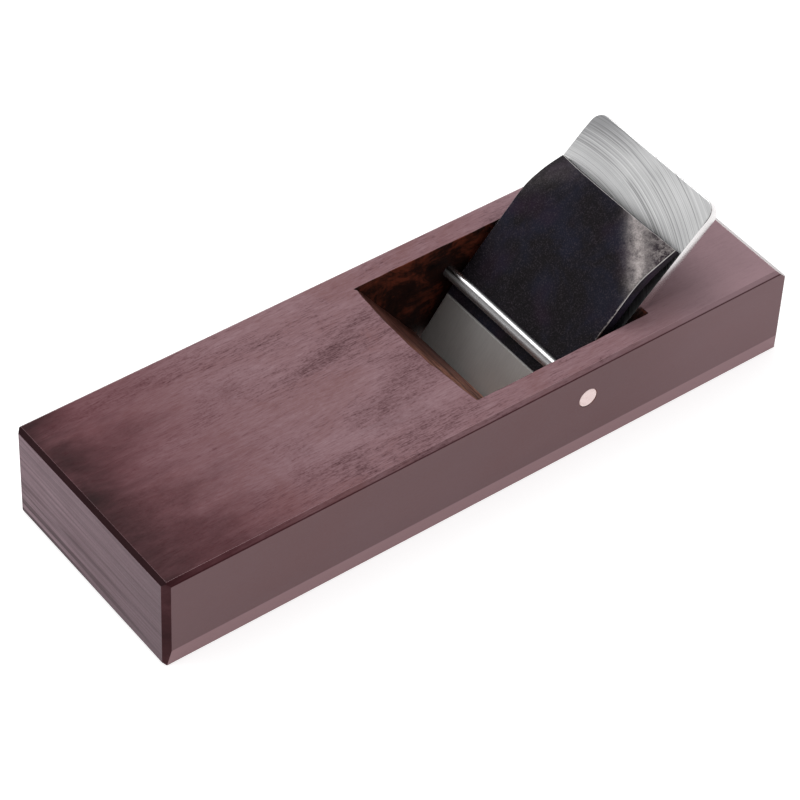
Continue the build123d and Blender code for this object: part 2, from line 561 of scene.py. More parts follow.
@dataclass(frozen=True)
class CutWood(Finish):
    """The same hardwood where a chisel left it bare, inside the throat."""

    dark: Colour = (0.010, 0.0045, 0.0040)
    mid: Colour = (0.036, 0.0115, 0.0078)
    warm: Colour = (0.200, 0.046, 0.024)
    # The wall's pale tone and the torn orange show mostly towards the near end, as painted light; the
    # dark wall tone shows elsewhere.
    wall: Colour = (0.210, 0.082, 0.060)
    wall_dark: Colour = (0.036, 0.0095, 0.0065)
    torn_and_painted_light: Colour = (0.215, 0.076, 0.042)
    # Pale tone of the painted highlight along the walls' ridges and the mouth's edge.
    crest_highlight: Colour = (0.430, 0.225, 0.155)
    blotch_scale: Triple = (95, 95, 120)
    fibres_scale: Triple = (160, 1400, 1400)
    cuts_scale: Triple = (900, 500, 240)
    lines_scale: Triple = (330, 46, 330)
    relief: float = 0.00012
    relief_strength: float = 0.8

    def paint(self, tree: Tree) -> dict[str, Sock]:
        """Colour, roughness and relief of the pared walls, with painted light towards the near end and a
        painted highlight along ridges.

        Args:
            tree: The material's tree.

        Returns:
            The shader's inputs that vary, by name.
        """
        place = tree.place()
        _, across, up = tree.split(place)
        facing = tree.facing()
        blotch = tree.noise(place, self.blotch_scale, 4.0, 0.68, 0.8)
        fibres = tree.noise(place, self.fibres_scale, 3.0, 0.6)
        cuts = tree.noise(place, self.cuts_scale, 2.0, 0.5, turn=(0.0, 0.5, 0.0))
        tone = blotch * 0.74 + fibres * 0.16 + cuts * 0.10
        colour = tree.ramp(tone, (0.38, self.dark), (0.50, self.mid), (0.62, self.warm))
        on_wall = facing[0].step(0.45, 0.75) * facing[2].step(-0.1, 0.2)
        lines = tree.noise(place, self.lines_scale, 3.0, 0.65, 0.4)
        # Painted light: the wall's pale lines and torn orange grow towards the near end, where more
        # light falls.
        near = across.step(0.010, -0.014)
        painted_light_lines = (fibres * 0.2 + lines * 0.8).step(0.40, 0.60) * (0.30 + near * 0.70)
        wall = tree.mix(painted_light_lines, self.wall_dark, self.wall)
        torn_and_painted_light = near * (blotch * 0.5 + lines * 0.5).step(0.44, 0.56)
        wall = tree.mix(torn_and_painted_light * 0.85, wall, self.torn_and_painted_light)
        colour = tree.mix(on_wall * 0.92, colour, wall)
        # Painted highlight: pale lines along ridges of the wall and along its foot above the mouth,
        # mostly towards the near end.
        ridge = abs(lines - 0.52).step(0.030, 0.008) * on_wall
        foot = up.step(0.0052, 0.0036) * facing[2].step(-0.1, 0.2)
        crest_highlight = ridge.larger(foot * 1.15) * (0.05 + near * 0.95)
        colour = tree.mix(crest_highlight * 0.62, colour, self.crest_highlight)
        return {
            "Base Color": colour,
            "Roughness": self.roughness + (fibres - 0.5) * 0.25,
            "Normal": tree.bump(fibres * 0.5 + cuts * 0.5, self.relief, self.relief_strength),
        }


@dataclass(frozen=True)
class GroundSteel(Finish):
    """Bright steel with curved marks from a grinding wheel, on a plate that leans with the bed."""

    tint: Colour = (0.62, 0.62, 0.62)
    shade: Colour = (0.25, 0.25, 0.255)
    lean: float = 0.0
    edge: Triple = (0.0, 0.0, 0.0)
    wheel_along: float = 0.010
    wheel_across: float = 0.012
    wander_scale: Triple = (30, 30, 30)
    broken_scale: Triple = (45, 45, 45)
    cloud_scale: Triple = (60, 45, 60)
    relief: float = 0.00003
    relief_strength: float = 0.55

    def paint(self, tree: Tree) -> dict[str, Sock]:
        """Colour, roughness and relief of the ground face.

        Args:
            tree: The material's tree.

        Returns:
            The shader's inputs that vary, by name.
        """
        moved = tree.mapped(tree.place(), shift=tuple(-value for value in self.edge))
        flat = tree.mapped(moved, turn=(0.0, self.lean, 0.0))
        along, across, _ = tree.split(flat)
        reach = ((along - self.wheel_along) ** 2.0 + (across - self.wheel_across) ** 2.0) ** 0.5
        wander = tree.noise(flat, self.wander_scale, 2.0, 0.5)
        track = reach + wander * 0.0006
        fine = tree.noise_line(track, 2900.0, 3.0, 0.85)
        coarse = tree.noise_line(track, 900.0, 2.0, 0.6)
        broken = tree.noise(flat, self.broken_scale, 2.0, 0.5)
        thin = abs(tree.noise_line(track, 330.0, 1.0, 0.5) - 0.5).step(0.018, 0.003)
        other = abs(tree.noise_line(track + 0.3, 210.0, 1.0, 0.5) - 0.47).step(0.012, 0.002)
        scratch = (thin * broken.step(0.42, 0.56)).larger(other * broken.step(0.60, 0.46))
        cloud = tree.noise(flat, self.cloud_scale, 2.0, 0.5)
        # Painted shade: the face is darkened towards its upper far corner.
        painted_corner_shade = along.step(0.060, 0.078) * across.step(0.004, 0.026)
        tone = 0.52 + (fine - 0.5) * 0.95 + (coarse - 0.5) * 0.45 + (cloud - 0.5) * 0.5 - painted_corner_shade * 0.85
        colour = tree.ramp(tone, (0.15, self.shade), (0.80, self.tint))
        colour = tree.mix(scratch * 0.55, colour, toned(self.shade, 0.40))
        relief = fine * 0.6 + coarse * 0.4 - scratch * 0.5
        rough = self.roughness + (fine - 0.5) * 0.18 + (cloud - 0.5) * 0.10
        return {
            "Base Color": colour,
            "Roughness": rough,
            "Normal": tree.bump(relief, self.relief, self.relief_strength),
        }


@dataclass(frozen=True)
class EdgeSteel(Finish):
    """Steel with smooth, nearly mirror-bright edges."""

    tint: Colour = (0.74, 0.72, 0.72)
    shade: Colour = (0.62, 0.60, 0.60)
    lean: float = 0.0
    hair_scale: Triple = (60, 1800, 2600)
    cloud_scale: Triple = (90, 90, 200)
    relief: float = 0.00001
    relief_strength: float = 0.4

    def paint(self, tree: Tree) -> dict[str, Sock]:
        """Colour, roughness and relief, with faint lines along the edge.

        Args:
            tree: The material's tree.

        Returns:
            The shader's inputs that vary, by name.
        """
        flat = tree.mapped(tree.place(), turn=(0.0, self.lean, 0.0))
        hair = tree.noise(flat, self.hair_scale, 2.0, 0.6)
        cloud = tree.noise(flat, self.cloud_scale, 2.0, 0.5)
        colour = tree.ramp(hair * 0.5 + cloud * 0.5, (0.30, self.shade), (0.60, self.tint))
        return {
            "Base Color": colour,
            "Roughness": self.roughness + (cloud - 0.5) * 0.14,
            "Normal": tree.bump(hair, self.relief, self.relief_strength),
        }


@dataclass(frozen=True)
class BlackSteel(Finish):
    """Forge-black steel with a blue and purple cast, worn bright along its edges.

    The attribute "bright" is 1 where the plate is ground, "wear" rises to 1 along its rims, and
    "fold" rises to 1 along the bends that handling has rubbed.
    """

    scale: Colour = (0.0075, 0.006, 0.0075)
    blue: Colour = (0.0115, 0.0125, 0.0255)
    purple: Colour = (0.0235, 0.0105, 0.0245)
    ground: Colour = (0.66, 0.655, 0.64)
    rim: Colour = (0.42, 0.40, 0.39)
    rubbed: Colour = (0.62, 0.56, 0.54)
    lean: float = 0.0
    cloud_scale: Triple = (75, 75, 75)
    cast_scale: Triple = (48, 48, 48)
    grit_scale: Triple = (2600, 2600, 2600)
    pits_scale: Triple = (620, 620, 620)
    hair_scale: Triple = (260, 2200, 260)
    relief: float = 0.00006
    relief_strength: float = 0.5

    def paint(self, tree: Tree) -> dict[str, Sock]:
        """Colour, metal, roughness and relief.

        Args:
            tree: The material's tree.

        Returns:
            The shader's inputs that vary, by name.
        """
        place = tree.place()
        flat = tree.mapped(place, turn=(0.0, self.lean, 0.0))
        bright = tree.attribute("bright")
        wear = tree.attribute("wear")
        fold = tree.attribute("fold")
        cloud = tree.noise(place, self.cloud_scale, 3.0, 0.6, 0.5)
        cast = tree.noise(place, self.cast_scale, 2.0, 0.55, 0.4, shift=(3.1, 1.7, 5.2))
        grit = tree.noise(place, self.grit_scale, 3.0, 0.75)
        pits = tree.noise(place, self.pits_scale, 2.0, 0.6)
        black = tree.mix(cloud.step(0.42, 0.66) * 0.80, self.scale, self.blue)
        black = tree.mix(cast.step(0.48, 0.70) * 0.75, black, self.purple)
        black = tree.mix(cloud.step(0.44, 0.30) * 0.6, black, toned(self.scale, 0.35))
        speck = (grit * 0.85 + pits * 0.15).step(0.49, 0.64)
        black = tree.mix(speck * 0.60, black, toned(self.scale, 6.5))
        hair = tree.noise(flat, self.hair_scale, 2.0, 0.6)
        metal = tree.mix((hair - 0.5) * 0.8 + 0.5, self.ground, toned(self.ground, 0.80))
        worn = (wear * 1.35 - (1.0 - pits) * 0.60).step(0.25, 0.70)
        across = tree.split(place)[1]
        handled = across.step(0.004, -0.012) * 0.94 + 0.06
        rubbed = fold * handled * (0.50 + (pits - 0.5) * 1.1 + (grit - 0.5) * 0.9).larger(0.0)
        facing = tree.facing()
        corner = facing[1].step(-0.10, -0.26) * facing[2].step(0.15, 0.45)
        rubbed = rubbed.larger(corner * (0.20 + (pits - 0.5) * 1.2 + (grit - 0.5) * 1.2).larger(0.0))
        colour = tree.mix(rubbed, black, self.rubbed)
        colour = tree.mix(bright, tree.mix(worn, colour, self.rim), metal)
        shine = bright.larger(worn).larger(rubbed)
        relief = (grit * 0.35 + pits * 0.65) * (1.0 - bright) + hair * bright * 0.35
        rough = self.roughness + (cloud - 0.5) * 0.18 + bright * 0.16 - worn * 0.06
        return {
            "Base Color": colour,
            "Metallic": shine,
            "Roughness": rough + rubbed * 0.16,
            "Normal": tree.bump(relief, self.relief, self.relief_strength),
        }


@dataclass(frozen=True)
class BarSteel(Finish):
    """Polished round bar with faint lines round it and a few along it."""

    tint: Colour = (0.74, 0.74, 0.75)
    shade: Colour = (0.60, 0.60, 0.61)
    # A dark stripe along the bar at this angle round it: a painted reflection of the darker surround.
    dark_reflection: Colour = (0.07, 0.065, 0.065)
    dark_reflection_at: float = math.radians(121.0)
    turned_scale: Triple = (120, 2600, 120)
    drawn_scale: Triple = (2400, 60, 2400)
    relief: float = 0.00001
    relief_strength: float = 0.35

    def paint(self, tree: Tree) -> dict[str, Sock]:
        """Colour, roughness and relief, with a painted dark reflection along the bar and painted shade
        on its front side.

        Args:
            tree: The material's tree.

        Returns:
            The shader's inputs that vary, by name.
        """
        place = tree.place()
        turned = tree.noise(place, self.turned_scale, 2.0, 0.6)
        drawn = tree.noise(place, self.drawn_scale, 2.0, 0.6)
        colour = tree.ramp(turned * 0.4 + drawn * 0.6, (0.35, self.shade), (0.60, self.tint))
        facing = tree.facing()
        # Painted reflection: a dark stripe along the bar where it faces the darker surround.
        toward_dark_reflection = facing[2] * math.sin(self.dark_reflection_at) + facing[0] * math.cos(self.dark_reflection_at)
        line = toward_dark_reflection.step(0.925, 0.985)
        colour = tree.mix(line * (0.80 + (turned - 0.5) * 0.3), colour, self.dark_reflection)
        # Painted shade: the bar's side that faces the front end is darkened; it is also made rougher.
        rough_and_shaded_front_side = facing[0].step(-0.45, -0.78) * facing[2].step(-0.45, -0.15)
        colour = tree.mix(rough_and_shaded_front_side * 0.55, colour, toned(self.shade, 0.6))
        return {
            "Base Color": colour,
            "Roughness": self.roughness + (drawn - 0.5) * 0.12 + rough_and_shaded_front_side * 0.30,
            "Normal": tree.bump(turned * 0.4 + drawn * 0.6, self.relief, self.relief_strength),
        }


@dataclass(frozen=True)
class FloorPaper(Finish):
    """The pale floor that the plane stands on."""

    tint: Colour = (0.60, 0.60, 0.60)
    cloud_scale: Triple = (6, 6, 6)

    def paint(self, tree: Tree) -> dict[str, Sock]:
        """A nearly even pale tone, lit a little from within as on a light table.

        Args:
            tree: The material's tree.

        Returns:
            The shader's inputs that vary, by name.
        """
        cloud = tree.noise(tree.place(), self.cloud_scale, 2.0, 0.5)
        return {
            "Base Color": tree.mix(cloud * 0.15, self.tint, toned(self.tint, 0.97)),
            "Emission Color": tree.mix(cloud * 0.10, (1.0, 1.0, 1.0), (0.97, 0.97, 0.97)),
        }


# ---- Sizes -------------------------------------------------------------------------------------


@dataclass(frozen=True)
class TurnedSize:
    """Sizes of a round piece that lies along Y, and how finely it is turned.

    The mesh runs over the end face until end_share of the way to the piece's middle, then round the
    broken rim until rim_share, then along the straight side.
    """

    centre: Vector
    length: float
    radius: float
    edge_break: float
    crown: float
    points_round: int = 97
    points_along: int = 61
    end_share: float = 0.4
    rim_share: float = 0.7


@dataclass(frozen=True)
class BlockSize:
    """Sizes of the block and its throat."""

    top_chamfer: float = 1.1 * MM
    corner_chamfer: float = 1.65 * MM
    heel_chamfer: float = 4.1 * MM
    sole_end_chamfer: float = 0.8 * MM
    bevel_height: float = 5.2 * MM
    bevel_depth: float = 0.8 * MM
    softening: float = 0.22 * MM
    throat_half_width: float = 23.65 * MM
    throat_front: float = 0.2 * MM
    mouth_gap: float = 0.5 * MM
    mouth_wall: float = 3.2 * MM
    bed_gap: float = 0.03 * MM
    bow: float = 1.25 * MM
    bow_power: float = 2.4
    chip_at: float = -8.0 * MM
    chip_width: float = 0.7 * MM
    chip_depth: float = 0.14 * MM
    step_at: float = -8.6 * MM
    step_width: float = 0.5 * MM
    step_depth: float = 0.45 * MM
    corner_depth: float = 1.2 * MM
    corner_relief: float = 0.55 * MM
    rim_break: float = 0.10 * MM
    rim_flare: float = 1.4
    hole_gap: float = 0.04 * MM
    hole_points: int = 96
    pocket_break: float = 0.12 * MM
    over: float = 3.0 * MM
    mesh_step: float = 0.8 * MM
    facet_depth: float = 0.30 * MM
    facet_length: float = 11.0 * MM
    facet_width: float = 5.5 * MM
    facet_seed: float = 7.0
    facet_from: float = 4.0 * MM
    facet_fade: float = 5.0 * MM
    bed_facets: float = 0.12


@dataclass(frozen=True)
class IronSize:
    """Sizes of the iron."""

    length: float = 73.8 * MM
    half_width: float = 22.4 * MM
    thickness: float = 3.0 * MM
    grind_degrees: float = 28.0
    corner_radius: float = 3.6 * MM
    corner_points: int = 16
    edge_break: float = 0.28 * MM
    broken_from_degrees: float = 30.0


@dataclass(frozen=True)
class BreakerSize:
    """Sizes of the chip breaker. Distances along it start at the iron's edge."""

    setback: float = 1.2 * MM
    land_end: float = 3.2 * MM
    top: float = 59.6 * MM
    thickness: float = 3.2 * MM
    tilt_degrees: float = 4.0
    gap: float = 0.03 * MM
    half_width: float = 21.9 * MM
    nose_half_width: float = 22.4 * MM
    polish_half_width: float = 21.7 * MM
    polish_end: float = 14.5 * MM
    nose_height: float = 0.5 * MM
    ear_along_side: float = 12.0 * MM
    ear_along_top: float = 11.5 * MM
    fold_reach: float = 1.5 * MM
    ear_thinning: float = 0.36
    far_clip: float = 1.1 * MM
    edge_round: float = 0.32 * MM
    clip_power: float = 1.5
    wear_reach: float = 0.16 * MM
    rim_wear_depth: float = 0.10 * MM
    under_break: float = 0.12 * MM
    nose_rounding: float = 0.6
    unevenness: float = 0.07 * MM
    swell_fade: float = 4.0 * MM
    swell_scale: float = 95.0
    hammer_scale: float = 260.0
    mesh_step: float = 0.5 * MM


@dataclass(frozen=True)
class BladeAxes:
    """The iron's own directions: its edge, the way up its face and the way off its face."""

    edge: Vector
    upward: Vector
    outward: Vector

    @property
    def lean(self) -> float:
        """How far the face leans from level, in radians."""
        return math.atan2(self.upward.z, self.upward.x)

    def at(self, distance: float, across: float, height: float) -> Vector:
        """A point given along the iron from its edge, across it, and off its face."""
        return self.edge + self.upward * distance + Vector((0, across, 0)) + self.outward * height


# ---- Geometry node trees -----------------------------------------------------------------------


class NodeShape(Tree):
    """A geometry node tree built from named inputs, run once and turned into a plain mesh."""

    def __init__(self, name: str, inputs: dict[str, float]) -> None:
        """Starts a tree.

        Args:
            name: The tree's name.
            inputs: Its named inputs and their values.
        """
        super().__init__(bpy.data.node_groups.new(name, "GeometryNodeTree"))
        self.values = inputs
        face = self.tree.interface
        face.new_socket("Geometry", in_out="INPUT", socket_type="NodeSocketGeometry")
        face.new_socket("Geometry", in_out="OUTPUT", socket_type="NodeSocketGeometry")
        self.keys = {
            key: face.new_socket(key, in_out="INPUT", socket_type="NodeSocketFloat").identifier
            for key in inputs
        }
        self.source = self.raw("NodeGroupInput", {}, {})

    def value(self, name: str) -> Sock:
        """One of the named inputs."""
        return Sock(self, self.source.outputs[name])

    def run(self, last: Sock, start: bpy.types.Mesh, material: bpy.types.Material,
            name: str) -> bpy.types.Object:
        """Closes the tree and makes its result.

        Args:
            last: The geometry that the tree ends in.
            start: The mesh that goes in.
            material: The material set on the result.
            name: The finished piece's name.

        Returns:
            A plain mesh object with no modifier.
        """
        real = self.node("GeometryNodeRealizeInstances", {}, {0: last})
        dressed = self.node("GeometryNodeSetMaterial", {}, {"Geometry": real, "Material": material})
        self.raw("NodeGroupOutput", {}, {0: dressed})
        holder = add_object(name, start)
        modifier = holder.modifiers.new("shape", "NODES")
        modifier.node_group = self.tree
        for key, identifier in self.keys.items():
            modifier[identifier] = float(self.values[key])
        apply_modifier(holder, modifier)
        if not holder.data.materials:
            holder.data.materials.append(material)
        return holder


def apply_modifier(piece: bpy.types.Object, modifier: bpy.types.Modifier) -> None:
    """Turns a modifier's result into the piece's plain mesh and removes the modifier.

    Args:
        piece: The piece.
        modifier: Its only modifier.
    """
    graph = bpy.context.evaluated_depsgraph_get()
    made = bpy.data.meshes.new_from_object(piece.evaluated_get(graph))
    piece.modifiers.remove(modifier)
    piece.data = made


def mesh_from(work: bmesh.types.BMesh, name: str) -> bpy.types.Mesh:
    """Closes an edited solid.

    Args:
        work: The solid, which is freed.
        name: The mesh's name.

    Returns:
        The solid as a mesh.
    """
    made = bpy.data.meshes.new(name)
    work.to_mesh(made)
    work.free()
    return made


def add_object(name: str, mesh: bpy.types.Mesh) -> bpy.types.Object:
    """Puts a mesh in the scene.

    Args:
        name: The object's name.
        mesh: The mesh.

    Returns:
        The object, at the origin.
    """
    made = bpy.data.objects.new(name, mesh)
    bpy.context.scene.collection.objects.link(made)
    return made


def mesh_of(name: str, points: Sequence[Any], faces: Sequence[Sequence[int]]) -> bpy.types.Mesh:
    """Builds a mesh.

    Args:
        name: The mesh's name.
        points: Its points.
        faces: Its faces, as numbers of points.

    Returns:
        The mesh.
    """
    made = bpy.data.meshes.new(name)
    made.from_pydata([tuple(point) for point in points], [], [list(face) for face in faces])
    made.update()
    return made


def shade_by_angle(mesh: bpy.types.Mesh, degrees: float = 32.0, wide: float = 6.0,
                   crisp: Callable[[Vector], bool] | None = None) -> None:
    """Smooths a mesh's shading, except across sharp edges and round wide flat faces.

    Args:
        mesh: The mesh.
        degrees: The angle at which an edge is sharp.
        wide: The area in square millimetres from which a face keeps its own flat shading.
        crisp: Says whether a point lies on a line that stays sharp whatever its angle.
    """
    work = bmesh.new()
    work.from_mesh(mesh)
    limit, slight = math.radians(degrees), math.radians(4.0)
    for face in work.faces:
        face.smooth = True
    for edge in work.edges:
        angle = edge.calc_face_angle(0.0) if len(edge.link_faces) == 2 else math.pi
        flat = max(face.calc_area() for face in edge.link_faces) > wide * MM * MM
        kept = crisp is not None and all(crisp(vert.co) for vert in edge.verts)
        edge.smooth = not kept and angle < (slight if flat else limit)
    work.to_mesh(mesh)
    work.free()


def turned_shape(name: str, material: bpy.types.Material, size: TurnedSize) -> bpy.types.Object:
    """A round piece that lies along Y, turned by one rule from the middle of one end to the other.

    Args:
        name: The piece's name.
        material: Its material.
        size: Its place and sizes.

    Returns:
        The piece.
    """
    shape = NodeShape(f"turn_{name}", {
        "Length": size.length, "Radius": size.radius, "Edge Break": size.edge_break,
        "Crown": size.crown, "Centre X": size.centre.x, "Centre Y": size.centre.y,
        "Centre Z": size.centre.z,
    })
    grid = shape.node("GeometryNodeMeshGrid", {}, {
        "Size X": 1.0, "Size Y": 1.0, "Vertices X": size.points_round, "Vertices Y": size.points_along})
    round_share, long_share, _ = shape.split(shape.node("GeometryNodeInputPosition", {}, {}))
    angle = round_share * math.tau
    twice = long_share * 2.0
    inward = 1.0 - abs(twice)
    shares = ((0.0, size.end_share), (size.end_share, size.rim_share), (size.rim_share, 1.0))
    face, rim, wall = (shape.node("ShaderNodeMapRange", {}, {0: inward, 1: low, 2: high})
                       for low, high in shares)
    turn = rim * (math.pi / 2)
    edge_break, crown = shape.value("Edge Break"), shape.value("Crown")
    reach = (shape.value("Radius") - edge_break) * face + edge_break * shape.math("SINE", turn)
    half = shape.value("Length") * 0.5
    fall = edge_break * (1.0 - shape.math("COSINE", turn))
    depth = crown * (face * face) + fall + wall * (half - crown - edge_break)
    place = shape.node("ShaderNodeCombineXYZ", {}, {
        0: shape.value("Centre X") + reach * shape.math("COSINE", angle),
        1: shape.value("Centre Y") + shape.math("SIGN", twice) * (half - depth),
        2: shape.value("Centre Z") + reach * shape.math("SINE", angle),
    })
    put = shape.node("GeometryNodeSetPosition", {}, {"Geometry": grid, "Position": place})
    closed = shape.node("GeometryNodeMergeByDistance", {}, {"Geometry": put, "Distance": MERGE})
    made = shape.run(closed, bpy.data.meshes.new(f"{name}_start"), material, name)
    tidy_mesh(made.data)
    shade_by_angle(made.data)
    return made


def tidy_mesh(mesh: bpy.types.Mesh, distance: float = MERGE) -> None:
    """Merges doubled points, drops faces with no area and turns every face outward.

    Args:
        mesh: The mesh.
        distance: How near two points are when they count as one.
    """
    work = bmesh.new()
    work.from_mesh(mesh)
    bmesh.ops.remove_doubles(work, verts=work.verts, dist=distance)
    bmesh.ops.dissolve_degenerate(work, edges=work.edges, dist=distance)
    bmesh.ops.recalc_face_normals(work, faces=work.faces)
    work.to_mesh(mesh)
    work.free()


def slice_solid(work: bmesh.types.BMesh, point: Vector, outward: Vector) -> None:
    """Cuts away the part of a convex solid outside a plane, and closes the cut.

    Args:
        work: The solid.
        point: A point on the plane.
        outward: The way off the plane that is cut away.
    """
    every = [*work.verts, *work.edges, *work.faces]
    cut = bmesh.ops.bisect_plane(work, geom=every, plane_co=point, plane_no=outward,
                                 clear_outer=True, dist=1e-8)
    rim = [item for item in cut["geom_cut"] if isinstance(item, bmesh.types.BMEdge)]
    bmesh.ops.holes_fill(work, edges=rim, sides=0)


def divide(work: bmesh.types.BMesh, point: Any, across: Any) -> None:
    """Adds a line of edges where a plane crosses a solid.

    Args:
        work: The solid.
        point: A point on the plane.
        across: The plane's own direction.
    """
    every = [*work.verts, *work.edges, *work.faces]
    bmesh.ops.bisect_plane(work, geom=every, plane_co=point, plane_no=across, dist=1e-8)


def push(work: bmesh.types.BMesh, ring: Sequence[Any], along: Any) -> None:
    """Makes a solid by pushing a flat outline along a line.

    Args:
        work: The empty solid to fill.
        ring: The outline's points.
        along: How far and which way it's pushed.
    """
    face = work.faces.new([work.verts.new(point) for point in ring])
    pushed = bmesh.ops.extrude_face_region(work, geom=[face])
    moved = [item for item in pushed["geom"] if isinstance(item, bmesh.types.BMVert)]
    bmesh.ops.translate(work, verts=moved, vec=along)


def subtract(target: bpy.types.Object, tools: Sequence[bpy.types.Object]) -> None:
    """Cuts the tools out of a piece, one after another, and removes them.

    Args:
        target: The piece.
        tools: The tools, in the order that they cut.
    """
    for tool in tools:
        modifier = target.modifiers.new("cut", "BOOLEAN")
        modifier.operation = "DIFFERENCE"
        modifier.solver = "EXACT"
        modifier.object = tool
        apply_modifier(target, modifier)
        bpy.data.objects.remove(tool)


# ---- Sub-assemblies ----------------------------------------------------------------------------


class Body(Enum):
    """The moving bodies of the model."""

    BLOCK = "block"
    IRON = "iron"
    BREAKER = "breaker"


class Slot(Enum):
    """The record's material slots."""

    ROSEWOOD = "rosewood"
    BRIGHT = "bright_steel"
    BLACK = "black_steel"
    POLISHED = "polished_steel"
    PALE = "pale_plug"


def finish_piece(piece: bpy.types.Object, body: Body, slot: Slot, *nodes: str) -> bpy.types.Object:
    """Hides the CAD nodes that a finished piece stands for, puts it on its body and reports it.

    Args:
        piece: The piece.
        body: The body that it rides on.
        slot: The record's slot that its finish belongs to; not used.
        nodes: The CAD nodes that it stands for.

    Returns:
        The piece.
    """
    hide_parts(*nodes)
    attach(piece, body.value)
    piece.data.calc_loop_triangles()
    LOG.info("%s: %d triangles on body %s", piece.name, len(piece.data.loop_triangles), body.value)
    return piece


class Block:
    """The hardwood block: broken edges, sole bevels, the pared throat and the bar's holes."""

    def __init__(self, size: BlockSize, axes: BladeAxes, iron: IronSize, bar: TurnedSize,
                 plug: TurnedSize) -> None:
        """Keeps the sizes and reads the block's place from the model.

        Args:
            size: The block's own sizes.
            axes: The iron's directions.
            iron: The iron's sizes, for the bed under it.
            bar: The bar's sizes, for its hole.
            plug: The plugs' sizes, for their pockets.
        """
        self.size = size
        self.axes = axes
        self.iron = iron
        self.bar = bar
        self.plug = plug
        self.low, self.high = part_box("body")

    def outline(self) -> bpy.types.Mesh:
        """Makes the block before its throat is cut.

        Returns:
            A solid with its bevels cut and its edges softened.
        """
        size, low, high = self.size, self.low, self.high
        work = bmesh.new()
        bmesh.ops.create_cube(work, size=1.0)
        span = high - low
        centre = (high + low) / 2
        for vert in work.verts:
            vert.co = Vector(a * b for a, b in zip(vert.co, span)) + centre
        ends = ((low.x, -1.0, size.top_chamfer), (high.x, 1.0, size.heel_chamfer))
        sides = ((low.y, -1.0), (high.y, 1.0))
        for edge, way, cut in ends:
            slice_solid(work, Vector((edge - way * cut, 0, high.z)), Vector((way, 0, 1)))
            slice_solid(work, Vector((edge - way * size.sole_end_chamfer, 0, low.z)),
                        Vector((way, 0, -1)))
        for edge, way in sides:
            slice_solid(work, Vector((0, edge - way * size.top_chamfer, high.z)), Vector((0, way, 1)))
            slice_solid(work, Vector((0, edge - way * size.bevel_depth, low.z)),
                        Vector((0, way * size.bevel_height, -size.bevel_depth)).normalized())
            for end, end_way, _ in ends:
                slice_solid(work, Vector((end - end_way * size.corner_chamfer, edge, 0)),
                            Vector((end_way, way, 0)))
        bmesh.ops.bevel(work, geom=list(work.edges), offset=size.softening, segments=2, profile=0.6,
                        affect="EDGES", clamp_overlap=True)
        bmesh.ops.recalc_face_normals(work, faces=work.faces)
        return mesh_from(work, "block")

    def bed_at(self, height: float) -> float:
        """X of the bed at a height."""
        drop = (self.iron.thickness + self.size.bed_gap) / math.sin(self.axes.lean)
        return self.axes.edge.x + (height - self.axes.edge.z) / math.tan(self.axes.lean) + drop

    def bow_at(self, across: float) -> float:
        """Shapes the throat's front edge.

        Args:
            across: A place across the block.

        Returns:
            How far the edge bows forward there, less the step and chip near its near end.
        """
        size = self.size
        share = abs(across) / size.throat_half_width
        chip = math.exp(-((across - size.chip_at) / size.chip_width) ** 2) * size.chip_depth
        step = size.step_depth / (1.0 + math.exp((across - size.step_at) / size.step_width))
        return size.bow * max(0.0, 1.0 - share ** size.bow_power) - step + chip

    def throat_blank(self) -> bpy.types.Mesh:
        """Makes the throat's solid before its facets.

        Returns:
            A solid whose attribute "carve" says how deeply each point may be faceted.
        """
        size, top, wide = self.size, self.high.z, self.size.throat_half_width
        mouth, bed_top = self.axes.edge.x - size.mouth_gap, self.bed_at(top)
        profile = [
            (size.throat_front, top + size.over), (size.throat_front, top), (mouth, size.mouth_wall),
            (mouth, -size.over), (self.bed_at(0), -size.over), (self.bed_at(0), 0.0),
            (bed_top, top), (bed_top, top + size.over),
        ]
        work = bmesh.new()
        push(work, [(x, -wide, z) for x, z in profile], (0, 2 * wide, 0))
        spans = (
            (Vector((1, 0, 0)), size.throat_front, bed_top),
            (Vector((0, 1, 0)), -wide, wide),
            (Vector((0, 0, 1)), 0.0, top - 1.0 * MM),
        )
        for axis, start, end in spans:
            count = max(2, round((end - start) / size.mesh_step))
            for step in range(1, count):
                divide(work, axis * (start + (end - start) * step / count), axis)
        for height in (top - 0.6 * MM, top - size.rim_break, top + 0.02 * MM):
            divide(work, (0, 0, height), (0, 0, 1))
        bmesh.ops.recalc_face_normals(work, faces=work.faces)
        layer = work.verts.layers.float.new("carve")
        wall = top - size.mouth_wall
        near = 0.05 * MM
        for vert in work.verts:
            height = min(vert.co.z, top)
            front = size.throat_front + max(0.0, top - max(height, size.mouth_wall)) * (
                (mouth - size.throat_front) / wall)
            on_front = abs(vert.co.x - front) < near
            on_bed = vert.co.x > self.bed_at(height) - near
            rise = min(1.0, max(0.0, (height - size.facet_from) / size.facet_fade))
            vert[layer] = rise * (size.bed_facets if on_bed else 1.0)
            if on_front:
                vert.co.x -= self.bow_at(vert.co.y) * max(0.0, height - size.mouth_wall) / wall
                if vert.co.y > wide - 2 * near and height > top - size.corner_depth:
                    vert.co.x -= size.corner_relief
        return mesh_from(work, "throat_start")

    def flare_rim(self, mesh: bpy.types.Mesh) -> None:
        """Widens the throat's tool above the top face, which breaks the throat's rim.

        Args:
            mesh: The tool's mesh.
        """
        size, top = self.size, self.high.z
        middle = (size.throat_front + self.bed_at(top)) / 2
        half = (self.bed_at(top) - size.throat_front) / 2
        flare = size.rim_break * size.rim_flare
        for vert in mesh.vertices:
            if vert.co.z > top:
                if abs(vert.co.x - middle) > half * 0.9:
                    vert.co.x += math.copysign(flare, vert.co.x - middle)
                if abs(vert.co.y) > size.throat_half_width * 0.99:
                    vert.co.y += math.copysign(flare, vert.co.y)

